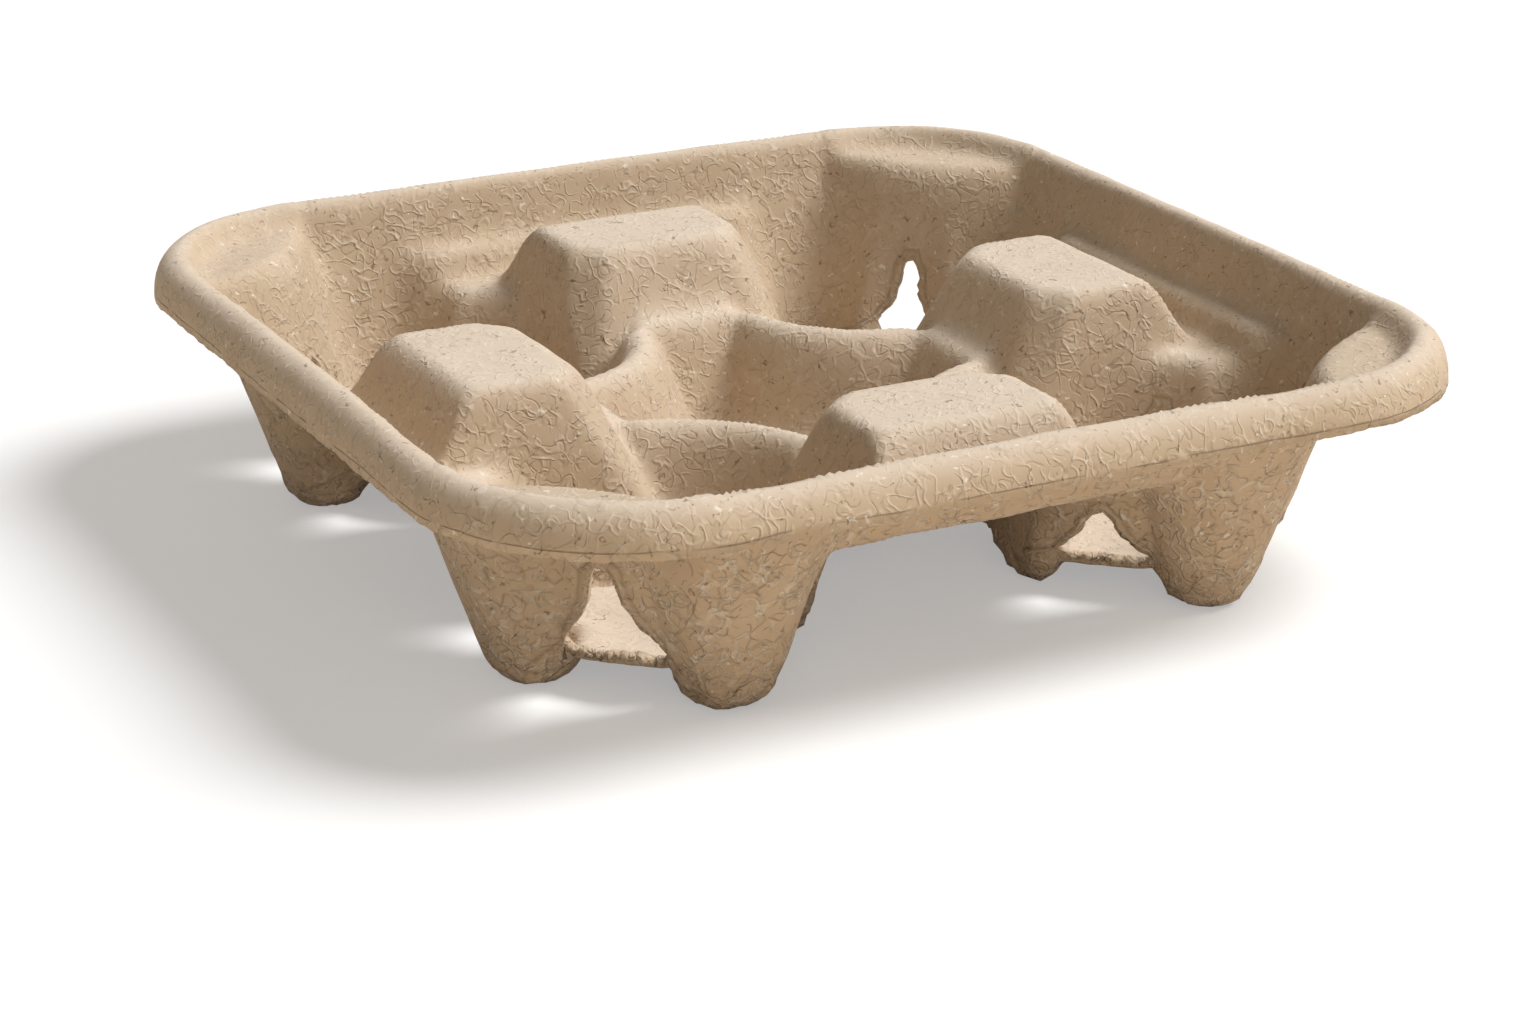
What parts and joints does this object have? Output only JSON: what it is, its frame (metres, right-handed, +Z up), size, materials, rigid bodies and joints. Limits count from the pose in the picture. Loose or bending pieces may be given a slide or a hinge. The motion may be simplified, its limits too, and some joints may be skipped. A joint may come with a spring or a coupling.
{
  "type": "cup carrier",
  "caption": "Square moulded-pulp cup carrier with tapered cup pockets on splayed legs, flat-topped humps, a central well and a rounded rim.",
  "frame": {"origin": "on the ground under the middle of the carrier", "axes": "+Z up out of the cup pockets, X and Y along the sides of the square rim"},
  "size_m": [0.214, 0.214, 0.05],
  "materials": {
    "pulp": "matte moulded paper pulp with an embossed fibre texture"
  },
  "bodies": {
    "root": {"carrier_tray": "pulp"}
  },
  "joints": []
}
